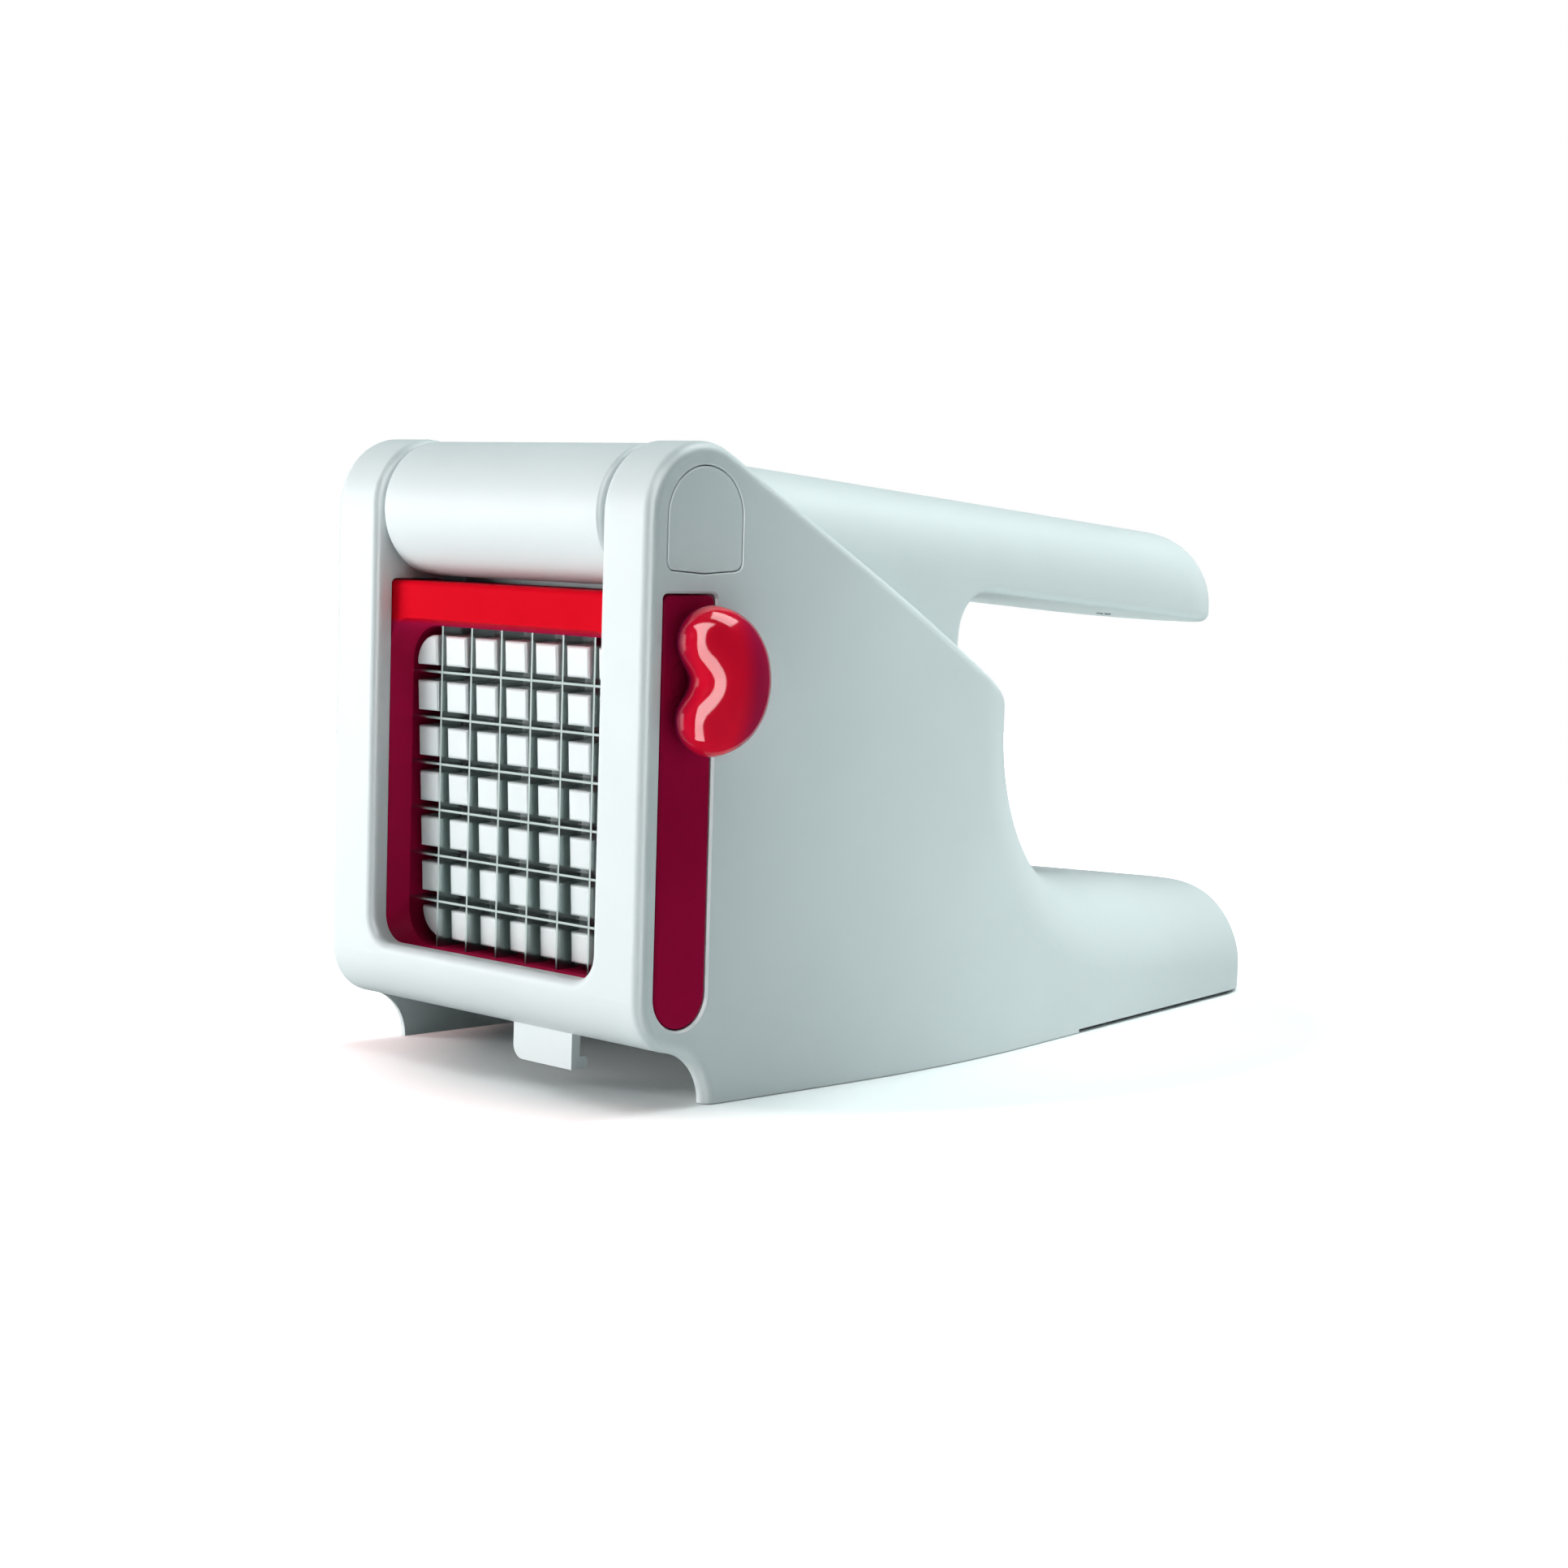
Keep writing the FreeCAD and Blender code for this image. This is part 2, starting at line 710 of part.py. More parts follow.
def pull_knob():
    """A bean bent round a finger hollow: half a ring with two legs, filled by a thinner web."""
    centre = Vector(body_half + knob_standoff + knob_tube_radius, cassette_mid_y, knob_centre_z)
    ring = Part.makeTorus(knob_path_radius, knob_tube_radius, centre, Vector(1, 0, 0))
    behind = box(0, body_width, cassette_mid_y, cassette_mid_y + beyond, 0, axle_height)
    pieces = [ring.common(behind)]
    for side in (-1, 1):
        start = centre + Vector(0, 0, side * knob_path_radius)
        pieces.append(cylinder(knob_tube_radius, knob_leg_length, start, Vector(0, -1, 0)))
        pieces.append(Part.makeSphere(knob_tube_radius, start - Vector(0, knob_leg_length, 0)))
    web_start = centre - Vector(knob_web_low, 0, 0)
    web_thickness = knob_web_low + knob_web_high
    web = cylinder(knob_path_radius, web_thickness, web_start, Vector(1, 0, 0))
    notch_start = web_start - Vector(spill, knob_notch_centre, 0)
    notch = cylinder(knob_notch_radius, web_thickness + 2 * spill, notch_start, Vector(1, 0, 0))
    pieces.append(web.cut(notch))
    stem_length = centre.x - knob_seat().x
    pieces.append(cylinder(knob_stem_radius, stem_length, knob_seat(), Vector(1, 0, 0)))
    return pieces[0].fuse(pieces[1:]).removeSplitter()


# Lever, drawn with its grip level and then drooped about the axle


def lever_plan(inset, low, high):
    """The lever seen from above: level sides at the barrel, a taper and a half-round end."""
    half = lever_half - inset
    end_radius = grip_end_radius - inset
    end_centre = Vector(0, grip_end_y - grip_end_radius, low)
    shoulder = Vector(half, grip_taper_start, low)
    reach = end_centre - shoulder
    lean = math.degrees(math.atan2(reach.y, reach.x) - math.acos(-end_radius / reach.Length))
    end = arc(end_centre, end_radius, lean, 180 - lean, "xy")
    right = line(Vector(half, -beyond, low), shoulder)
    left = line(Vector(-half, grip_taper_start, low), Vector(-half, -beyond, low))
    return joined([right, end, left]).extrude(Vector(0, 0, high - low))


def lever_side():
    """The lever seen from the side: level grip, rounded neck and the cheeks that brace the pusher."""
    far = grip_end_y + beyond
    neck = Vector(0, cheek_rear_y + neck_radius, grip_bottom - neck_radius)
    top = line(Vector(0, axle_y, barrel_top), Vector(0, far, barrel_top))
    bottom = line(Vector(0, far, grip_bottom), Vector(0, neck.y, grip_bottom))
    bend = arc(neck, neck_radius, 90, 180, "yz")
    corner = Vector(0, cheek_rear_y, grip_bottom - cheek_corner_height)
    toe = Vector(0, cheek_bottom_y, plate_bottom_z + cheek_bottom_lift)
    cheek = line(corner, toe)
    return joined([top, bottom, bend, cheek, line(toe, axle_centre)])


def lever_shell():
    """A channel open underneath: rounded skin, two cheeks and bosses for the cover's screws."""
    low = plate_bottom_z - beyond
    skin = across(lever_side(), -lever_half, lever_half).common(lever_plan(0.0, low, barrel_top + spill))
    edges = []
    for edge in skin.Edges:
        bounds = edge.BoundBox
        if bounds.ZMin > barrel_top - tolerance and bounds.YLength > spill:
            edges.append(edge)
    skin = skin.makeFillet(grip_edge_round, edges)
    rim = []
    for edge in skin.Edges:
        bounds = edge.BoundBox
        level = bounds.ZLength < tolerance and bounds.YLength > spill
        if level and abs(bounds.ZMin - grip_bottom) < tolerance and bounds.YMin > cheek_rear_y:
            rim.append(edge)
    skin = skin.makeFillet(grip_rim_round, rim)
    hollow = lever_plan(lever_wall, low, barrel_top - lever_wall)
    inner_edges = [
        edge for edge in hollow.Edges
        if edge.BoundBox.ZMin > barrel_top - lever_wall - tolerance and edge.BoundBox.YLength > spill
    ]
    hollow = hollow.makeFillet(grip_edge_round - lever_wall, inner_edges)
    shell = skin.cut(hollow)
    bosses = []
    for y in cover_screw_ys:
        foot = grip_bottom + cover_thickness
        rise = barrel_top - lever_wall / 2 - foot
        bosses.append(cylinder(boss_radius, rise, Vector(0, y, foot), Vector(0, 0, 1)))
    shell = shell.fuse(bosses)
    return shell.cut([grip_screw_hole(y) for y in cover_screw_ys])


def bulkhead():
    """The lever's cross wall behind the pusher, drawn square to the grid."""
    half = lever_half - lever_wall / 2
    back = plate_back_y + bulkhead_thickness
    return box(-half, half, plate_back_y, back, plate_bottom_z + cheek_bottom_lift, axle_height)


def handle_shell():
    """Barrel, cross wall and drooped channel in one moulding."""
    end = Vector(-lever_half, axle_y, axle_height)
    barrel = cylinder(barrel_radius, 2 * lever_half, end, Vector(1, 0, 0))
    end_edges = [edge for edge in barrel.Edges if edge.BoundBox.XLength < tolerance]
    barrel = barrel.makeFillet(barrel_edge_round, end_edges)
    channel = turned(lever_shell(), -grip_droop)
    in_front = box(-body_width, body_width, -beyond, plate_back_y, -beyond, axle_height)
    channel = channel.cut(turned(in_front, pusher_tilt))
    wall = turned(bulkhead(), pusher_tilt)
    lever = barrel.fuse([channel, wall])
    bore_start = end - Vector(spill, 0, 0)
    bore = cylinder(axle_radius + running_gap, 2 * (lever_half + spill), bore_start, Vector(1, 0, 0))
    holes = [turned(pusher_screw_hole(place), pusher_tilt) for place in pusher_screw_places()]
    return lever.cut([bore] + holes).removeSplitter()


def grip_cover():
    """The plate that closes the grip's underside, flush with its rim."""
    plate = lever_plan(lever_wall + cover_gap, grip_bottom, grip_bottom + cover_thickness)
    behind = box(-lever_half, lever_half, cover_start_y, grip_end_y, grip_bottom - spill, barrel_top)
    plate = plate.common(behind)
    plate = plate.cut([grip_screw_hole(y) for y in cover_screw_ys])
    return turned(plate, -grip_droop)


def upended(shape, y):
    """Stand a screw drawn along -Y so that it drives upward from the grip's underside."""
    copy = shape.copy()
    copy.rotate(Vector(0, 0, 0), Vector(1, 0, 0), -90)
    copy.translate(Vector(0, y, grip_bottom + grip_head_sink()))
    return copy


def grip_head_sink():
    return screw_head_height * small_screw_scale - grip_head_proud


def grip_screw_length():
    return grip_thickness / 2


def grip_screw_hole(y):
    return upended(screw_hole(small_screw_scale, grip_screw_length(), 2 * grip_head_sink()), y)


def grip_screws():
    screws = []
    for y in cover_screw_ys:
        one = upended(screw(small_screw_scale, grip_screw_length()), y)
        screws.append(turned(one, -grip_droop))
    return Part.makeCompound(screws)


# Pusher, drawn square to the grid and then swung back by its tilt at rest


def pusher_screw_places():
    back = plate_back_y + bulkhead_thickness
    side = lever_half - pusher_screw_side_inset
    heights = (plate_bottom_z + pusher_screw_low_inset, plate_top_z - pusher_screw_high_inset)
    return [Vector(x, back, z) for x in (-side, side) for z in heights]


def pusher_screw_length():
    return bulkhead_thickness + plate_thickness - pusher_screw_cover


def pusher_screw_hole(place):
    hole = screw_hole(1.0, pusher_screw_length(), screw_head_height + spill)
    hole.translate(place)
    return hole


def pusher_screws():
    screws = []
    for place in pusher_screw_places():
        one = screw(1.0, pusher_screw_length())
        one.translate(place)
        screws.append(turned(one, pusher_tilt))
    return Part.makeCompound(screws)


def tooth(x, z):
    """A blunt block with softened edges; a corner tooth follows the mouth's rounded corner."""
    half_w = tooth_width / 2
    half_h = tooth_height / 2
    block = box(-half_w, half_w, tooth_front_y, plate_front_y + plate_thickness / 2, -half_h, half_h)
    last = (cell_count - 1) / 2 * cell_pitch
    at_corner = abs(abs(x) - last) < tolerance and abs(abs(z - grid_centre_z) - last) < tolerance
    if at_corner:
        outer = [
            edge for edge in block.Edges
            if edge.BoundBox.YLength > spill and edge.CenterOfMass.x * x > 0
            and edge.CenterOfMass.z * (z - grid_centre_z) > 0
        ]
        block = block.makeFillet(min(tooth_outer_corner, tooth_height - spill / 10), outer)
    front = [edge for edge in block.Edges if edge.BoundBox.YMax < tooth_front_y + tolerance]
    block = block.makeFillet(tooth_edge_round, front)
    block.translate(Vector(x, 0, z))
    return block


def pusher_block():
    half = lever_half - plate_edge_gap
    plate = box(-half, half, plate_front_y, plate_back_y, plate_bottom_z, plate_top_z)
    offsets = [(index - (cell_count - 1) / 2) * cell_pitch for index in range(cell_count)]
    teeth = [tooth(x, grid_centre_z + z) for x in offsets for z in offsets]
    block = plate.fuse(teeth)
    block = block.cut([pusher_screw_hole(place) for place in pusher_screw_places()])
    return turned(block, pusher_tilt)


def all_parts():
    cap = hinge_cap()
    parts = {
        "housing": housing(),
        "tail_foot": tail_foot(),
        "hinge_axle": hinge_axle(),
        "hinge_cap_right": cap,
        "hinge_cap_left": mirrored(cap),
        "cassette_frame": cassette_frame(),
        "cassette_cover": cassette_cover(),
        "cassette_screws": cassette_screws(),
        "pull_knob": pull_knob(),
        "handle_shell": handle_shell(),
        "grip_cover": grip_cover(),
        "grip_screws": grip_screws(),
        "pusher_block": pusher_block(),
        "pusher_screws": pusher_screws(),
    }
    for number, place in enumerate(blade_places(), start=1):
        parts["upright_blade_%d" % number] = upright_blade(place)
        parts["cross_blade_%d" % number] = cross_blade(-place)
    return parts


def main():
    parts = all_parts()
    bounds = Part.makeCompound(list(parts.values())).optimalBoundingBox(False)
    origin = Vector((bounds.XMin + bounds.XMax) / 2, (bounds.YMin + bounds.YMax) / 2, bounds.ZMin)
    os.makedirs("parts", exist_ok=True)
    for name, shape in parts.items():
        shape.translate(-origin)
        shape.exportStep("parts/%s.step" % name)
        facts = (name, len(shape.Solids), shape.Volume, shape.isValid())
        print("%-18s %2d solids %10.1f mm3 valid %s" % facts)
    print("origin moved by", [round(value, 4) for value in -origin])
    print("size", [round(value, 2) for value in (bounds.XLength, bounds.YLength, bounds.ZLength)])


main()
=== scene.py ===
# %% [markdown]
# # A lever chip cutter, dressed for its portrait
# The cutter is a white moulded body with two ears. A lever turns on an axle between the ears and swings a
# block of blunt teeth through a grid of thin steel blades, and the blades sit in a red cassette that slides
# in from the side. The construction comes in as a fixed frame of solids at their real size. This lesson
# gives every piece its finish, models the knob, whose shape is softer than its solid, and sets the light
# and the camera of a studio shot.

# %% The fixed frame
import math

import bpy
from mathutils import Matrix, Vector


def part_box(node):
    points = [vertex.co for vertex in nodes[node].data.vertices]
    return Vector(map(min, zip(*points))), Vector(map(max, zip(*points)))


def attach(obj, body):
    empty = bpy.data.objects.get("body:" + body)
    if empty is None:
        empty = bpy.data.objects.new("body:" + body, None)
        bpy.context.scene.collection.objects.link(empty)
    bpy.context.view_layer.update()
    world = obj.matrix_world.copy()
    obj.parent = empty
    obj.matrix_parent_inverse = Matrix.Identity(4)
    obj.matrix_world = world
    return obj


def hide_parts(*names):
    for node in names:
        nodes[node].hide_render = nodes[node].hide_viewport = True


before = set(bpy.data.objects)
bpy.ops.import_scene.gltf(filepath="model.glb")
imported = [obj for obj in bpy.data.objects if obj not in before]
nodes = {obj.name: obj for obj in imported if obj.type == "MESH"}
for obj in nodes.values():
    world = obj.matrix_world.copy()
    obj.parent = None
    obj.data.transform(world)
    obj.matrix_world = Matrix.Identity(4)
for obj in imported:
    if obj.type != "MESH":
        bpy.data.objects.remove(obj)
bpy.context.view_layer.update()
bpy.ops.object.select_all(action="DESELECT")

# %% [markdown]
# ## Small helpers
# Colours are picked as sRGB hex values, as a designer reads them off a swatch, but a shader works in linear
# light, so one function converts them. Patterns are given by the real size of one grain in millimetres, and
# a noise texture's scale is one over that size in metres. One function adds a node with its settings and
# links, so that every material below reads as a short list of what it is made of.

# %% Helpers
MM = 0.001


def linear(hex_colour):
    """An sRGB hex colour as linear red, green and blue, with full alpha."""
    channels = [int(hex_colour[i:i + 2], 16) / 255 for i in (0, 2, 4)]
    return tuple(c / 12.92 if c <= 0.04045 else ((c + 0.055) / 1.055) ** 2.4 for c in channels) + (1.0,)


def grains(size_mm):
    """The scale of a texture whose grain is this many millimetres."""
    return 1.0 / (size_mm * MM)


def add_node(tree, kind, settings=None, **inputs):
    """One node: settings are its properties, inputs its sockets, given as a value or an output to link."""
    node = tree.nodes.new(kind)
    for name, value in (settings or {}).items():
        setattr(node, name, value)
    for name, value in inputs.items():
        wanted = name.replace("_", " ").lower()
        socket = [s for s in node.inputs if s.name.lower() == wanted and s.enabled][0]
        if isinstance(value, bpy.types.NodeSocket):
            tree.links.new(value, socket)
        else:
            socket.default_value = value
    return node


def new_material(name, **surface):
    """A material with a plain Principled surface, and its tree, surface and object coordinates."""
    material = bpy.data.materials.new(name)
    material.use_nodes = True
    tree = material.node_tree
    shader = tree.nodes["Principled BSDF"]
    for key, value in surface.items():
        shader.inputs[key.replace("_", " ").title().replace("Ior", "IOR")].default_value = value
    place = add_node(tree, "ShaderNodeTexCoord").outputs["Object"]
    return material, tree, shader, place


print("mid grey 808080 in linear light:", round(linear("808080")[0], 3))

# %% [markdown]
# ## White ABS, moulded
# The body, the lever and the teeth are ABS from a mould with a fine satin texture. The eye reads it as an
# even, slightly cool white with a soft sheen, and a close look finds faint clouding where the melt flowed. A
# picture of such a surface could be wrapped round each piece, but it would show a seam somewhere, and noise
# in object space has none. Three layers of noise do the work: slow clouds in the colour, patches in the
# sheen and a fine grain in the bump. The real grain is under a tenth of a millimetre, so it is drawn coarser
# to show. The grip's cover is a paler and duller grade, and the teeth come from a smoother mould.

# %% White plastics
ABS_IOR = 1.53
CLOUD_MM = 45.0
CLOUD_EDGES = (0.35, 0.65)
PATCH_MM = 9.0
SHEEN_SPREAD = 0.05


def moulded_plastic(name, light, dark, roughness, grain_mm, grain_depth_mm, mirror=0.5):
    """ABS whose colour clouds between light and dark; mirror is the strength of its reflections."""
    material, tree, shader, place = new_material(name, ior=ABS_IOR, specular_ior_level=mirror)
    clouds = add_node(tree, "ShaderNodeTexNoise", vector=place, scale=grains(CLOUD_MM), detail=3.0)
    tint = add_node(tree, "ShaderNodeValToRGB", fac=clouds.outputs["Fac"])
    for stop, position, colour in zip(tint.color_ramp.elements, CLOUD_EDGES, (dark, light)):
        stop.position = position
        stop.color = linear(colour)
    tree.links.new(tint.outputs["Color"], shader.inputs["Base Color"])
    patches = add_node(tree, "ShaderNodeTexNoise", vector=place, scale=grains(PATCH_MM), detail=4.0)
    sheen = add_node(tree, "ShaderNodeMapRange", value=patches.outputs["Fac"],
                     to_min=roughness - SHEEN_SPREAD, to_max=roughness + SHEEN_SPREAD)
    tree.links.new(sheen.outputs["Result"], shader.inputs["Roughness"])
    grain = add_node(tree, "ShaderNodeTexNoise", vector=place, scale=grains(grain_mm), detail=2.0)
    bump = add_node(tree, "ShaderNodeBump", height=grain.outputs["Fac"], strength=0.5,
                    distance=grain_depth_mm * MM)
    tree.links.new(bump.outputs["Normal"], shader.inputs["Normal"])
    return material


def paint(node_names, material):
    """Give CAD nodes a finish in place of the plain one that they arrive with."""
    for name in node_names:
        nodes[name].data.materials.clear()
        nodes[name].data.materials.append(material)


white_abs = moulded_plastic("white_abs_satin", "DDE3E4", "D9DFE0", 0.40, 0.5, 0.012)
pale_abs = moulded_plastic("pale_abs_matt", "E6EBEA", "DFE4E3", 0.50, 0.6, 0.02)
tooth_abs = moulded_plastic("white_abs_polished_teeth", "DFE5E6", "DBE1E2", 0.30, 0.6, 0.006)
paint(["housing", "hinge_cap_right", "hinge_cap_left", "handle_shell"], white_abs)
paint(["grip_cover"], pale_abs)
paint(["pusher_block"], tooth_abs)
print("white plastics:", white_abs.name, pale_abs.name, tooth_abs.name)

# %% [markdown]
# ## Red ABS
# The cassette and its knob are the same plastic with a red pigment, so the same function makes them. The
# cassette is satin, and beside the white body the eye sees its colour but hardly a reflection in it, so its
# mirror is turned almost off. The knob's mould was polished, so its red is glossy, with sharp highlights.

# %% Red plastics
SATIN_RED_MIRROR = 0.006
red_abs = moulded_plastic("red_abs_satin", "DA0820", "D2071D", 0.36, 0.5, 0.010, SATIN_RED_MIRROR)
# The end plate gets a darker copy of this red: the plate faces away from the front light, and the darker copy
# is partly painted shade.
painted_shade_red_abs = moulded_plastic("red_abs_deep_painted_shade", "A20C3C", "9A0A38", 0.36, 0.5, 0.010, SATIN_RED_MIRROR)
knob_abs = moulded_plastic("red_abs_gloss", "E40C30", "DC0A2C", 0.10, 3.0, 0.004)
paint(["cassette_cover"], red_abs)
paint(["cassette_frame"], painted_shade_red_abs)
print("red plastics:", red_abs.name, painted_shade_red_abs.name, knob_abs.name)

# %% [markdown]
# ## A red that runs deeper
# The cassette cover's bar is a clear red, while the flare round its mouth turns a deeper red, close to wine.
# The flare faces away from the front-left light, and its deeper red is partly painted shade. The bar and the
# flare are one moulding, so the finish itself changes: the height of a point decides how much of the deeper
# red is mixed in. The change is short and lies just under the bar's lower edge. The same function paints shade
# into the knob later.

# %% Two reds on one piece, the deeper one partly painted shade
BAR_EDGE = 95.6 * MM
BAR_FADE = 1.4 * MM


def run_to(material, axis, start, end, hex_colour):
    """Let a finish's own colour run into another along an axis, from one place to the next, to paint shade."""
    tree = material.node_tree
    base = tree.nodes["Principled BSDF"].inputs["Base Color"]
    own = base.links[0].from_socket
    place = add_node(tree, "ShaderNodeTexCoord").outputs["Object"]
    along = add_node(tree, "ShaderNodeSeparateXYZ", vector=place).outputs[axis]
    share = add_node(tree, "ShaderNodeMapRange", {"interpolation_type": "SMOOTHSTEP"}, value=along,
                     from_min=start, from_max=end)
    mixed = add_node(tree, "ShaderNodeMixRGB", fac=share.outputs["Result"], color1=own,
                     color2=linear(hex_colour))
    tree.links.new(mixed.outputs["Color"], base)


# The deeper red under the bar's edge is partly painted shade on the flare.
run_to(red_abs, "Z", BAR_EDGE, BAR_EDGE - BAR_FADE, "BC164A")
print("the two reds meet over", round(BAR_FADE / MM, 1), "mm, under z =", round(BAR_EDGE / MM, 1), "mm")

# %% [markdown]
# ## Ground stainless strip
# The blades are cut from cold-rolled strip, ground along its length. The grinding leaves fine lines that
# stretch a reflection across them. An anisotropic surface would stretch it too, but it draws no lines, so
# noise is squeezed to long thin streaks instead: along Z on the upright blades and along X on the cross
# blades. Real streaks are a few hundredths of a millimetre wide, and they are drawn wider to show. The axle
# and the screws are turned, which leaves an even fine grain.

# %% Steel
STEEL_GLOSS = (0.15, 0.25)
STREAK_DEPTH = 0.01 * MM


def ground_steel(name, streaks_mm):
    """Bare steel; streaks_mm is the grain's size along X, Y and Z."""
    material, tree, shader, place = new_material(name, base_color=linear("9CA7A5"), metallic=1.0)
    stretch = add_node(tree, "ShaderNodeMapping", vector=place, scale=[grains(size) for size in streaks_mm])
    lines = add_node(tree, "ShaderNodeTexNoise", vector=stretch.outputs["Vector"], scale=1.0, detail=3.0)
    gloss = add_node(tree, "ShaderNodeMapRange", value=lines.outputs["Fac"], to_min=STEEL_GLOSS[0],
                     to_max=STEEL_GLOSS[1])
    tree.links.new(gloss.outputs["Result"], shader.inputs["Roughness"])
    bump = add_node(tree, "ShaderNodeBump", height=lines.outputs["Fac"], strength=0.12,
                    distance=STREAK_DEPTH)
    tree.links.new(bump.outputs["Normal"], shader.inputs["Normal"])
    return material


upright_steel = ground_steel("stainless_ground_upright", (0.25, 0.25, 14.0))
cross_steel = ground_steel("stainless_ground_across", (14.0, 0.25, 0.25))
turned_steel = ground_steel("steel_turned", (0.4, 0.4, 0.4))
paint([name for name in nodes if name.startswith("upright_blade")], upright_steel)
paint([name for name in nodes if name.startswith("cross_blade")], cross_steel)
paint(["hinge_axle", "cassette_screws", "grip_screws", "pusher_screws"], turned_steel)
print("steels:", upright_steel.name, cross_steel.name, turned_steel.name)

# %% [markdown]
# ## Rubber strip
# The strip under the tail keeps the cutter from sliding. It is moulded rubber: dark, without shine and
# slightly pitted, so a rough surface with a fine bump is enough. The pits are drawn coarser than real ones.

# %% Rubber
PIT_MM = 0.8
PIT_DEPTH = 0.03 * MM
rubber, rubber_tree, rubber_shader, rubber_place = new_material(
    "rubber_matt", base_color=linear("3A3D3D"), roughness=0.8)
pits = add_node(rubber_tree, "ShaderNodeTexNoise", vector=rubber_place, scale=grains(PIT_MM), detail=3.0)
dents = add_node(rubber_tree, "ShaderNodeBump", height=pits.outputs["Fac"], strength=0.4,
                 distance=PIT_DEPTH)
rubber_tree.links.new(dents.outputs["Normal"], rubber_shader.inputs["Normal"])
paint(["tail_foot"], rubber)
print("rubber:", rubber.name)

# %% [markdown]
# ## The pull knob
# The knob is a glossy bean with a shallow hollow for the fingertip at its front. A bean has no flat face to
# start from, and pushing a sphere into its shape leaves stretched faces. So it is put together as a sculptor
# would: a row of eggs along a bent line, fat in the middle and smaller at the ends. Smoothing will draw the
# skin in a little, so the row starts that much larger than the knob's box.

# %% Eggs for the bean
BEAN_BEND = 4.6 * MM
BEAN_SINK = 1.4 * MM
BEAN_REACH = 7.9 * MM
BEAN_MIDDLE = Vector((7.2, 9.0, 10.9)) * MM
BEAN_END = Vector((6.0, 8.3, 7.6)) * MM
BEAN_SHRINK = Vector((0.15, 0.9, 0.0)) * MM
EGGS_EACH_WAY = 4
knob_low, knob_high = (Vector(corner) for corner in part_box("pull_knob"))
bean_centre = knob_high + BEAN_SHRINK - BEAN_MIDDLE
bean_centre.z = (knob_low.z + knob_high.z) / 2


def select_only(*pieces):
    """Select these objects and nothing else, with the first of them active."""
    bpy.ops.object.select_all(action="DESELECT")
    for piece in pieces:
        piece.select_set(True)
    bpy.context.view_layer.objects.active = pieces[0]


def place_in_mesh(piece):
    """Move an object's place, turn and scale into its mesh, so that it sits at the origin."""
    select_only(piece)
    bpy.ops.object.transform_apply(location=True, rotation=True, scale=True)
    return piece


def egg(along):
    """One egg of the bean, where along runs from -1 at its low end to 1 at its high end."""
    centre = bean_centre + Vector((-BEAN_SINK * along ** 2, -BEAN_BEND * along ** 2, BEAN_REACH * along))
    size = BEAN_MIDDLE.lerp(BEAN_END, along ** 2)
    bpy.ops.mesh.primitive_uv_sphere_add(radius=1.0, segments=48, ring_count=24, location=centre, scale=size)
    return place_in_mesh(bpy.context.object)


eggs = [egg(step / EGGS_EACH_WAY) for step in range(-EGGS_EACH_WAY, EGGS_EACH_WAY + 1)]
print("bean:", len(eggs), "eggs round", [round(v / MM, 1) for v in bean_centre], "mm")

# %% [markdown]
# ## One skin for the bean
# The eggs still cut through each other. A union would leave a crease at every cut, so a voxel remesh fuses
# them to one skin of even small faces, and many rounds of smoothing run the lumps into each other until no
# seam is left and a highlight runs over the knob without a kink.

# %% Fused bean
SKIN_VOXEL = 0.35 * MM
MELT_ROUNDS = 200


def apply_all(piece):
    """Apply an object's modifiers in order."""
    select_only(piece)
    for modifier in list(piece.modifiers):
        bpy.ops.object.modifier_apply(modifier=modifier.name)


select_only(*eggs)
bpy.ops.object.join()
bean = bpy.context.object
bean.name = "pull_knob_bean"
skin = bean.modifiers.new("skin", "REMESH")
skin.mode = "VOXEL"
skin.voxel_size = SKIN_VOXEL
melt = bean.modifiers.new("melt", "SMOOTH")
melt.factor = 0.5
melt.iterations = MELT_ROUNDS
apply_all(bean)
bpy.ops.object.shade_smooth()
bean.data.materials.clear()
bean.data.materials.append(knob_abs)
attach(bean, "body")
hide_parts("pull_knob")
print("knob:", len(bean.data.polygons), "faces,", [round(v / MM, 1) for v in bean.dimensions], "mm")

# %% [markdown]
# ## The knob's red and its painted shade
# The bean is brightest at the middle of its front and deeper at its rear and near the end plate. Lamps alone
# could shade it so, but they would shade the wall beside it too, so the shade is painted into the red twice,
# with the function from the cassette: painted shade along Y towards the rear and along X towards the plate.

# %% Knob colour with painted shade
REAR_SHADE_RUN = (-4.0 * MM, 2.0 * MM)
PLATE_SHADE_RUN = (8.0 * MM, 2.5 * MM)
plate_low, plate_high = (Vector(corner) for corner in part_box("cassette_frame"))
# Painted shade: the red darkens towards the rear and towards the end plate.
run_to(knob_abs, "Y", bean_centre.y + REAR_SHADE_RUN[0], bean_centre.y + REAR_SHADE_RUN[1], "A80F3F")
run_to(knob_abs, "X", plate_high.x + PLATE_SHADE_RUN[0], plate_high.x + PLATE_SHADE_RUN[1], "5C0A2C")
print("knob red deepens from", round(PLATE_SHADE_RUN[0] / MM, 1), "to", round(PLATE_SHADE_RUN[1] / MM, 1),
      "mm off the plate")
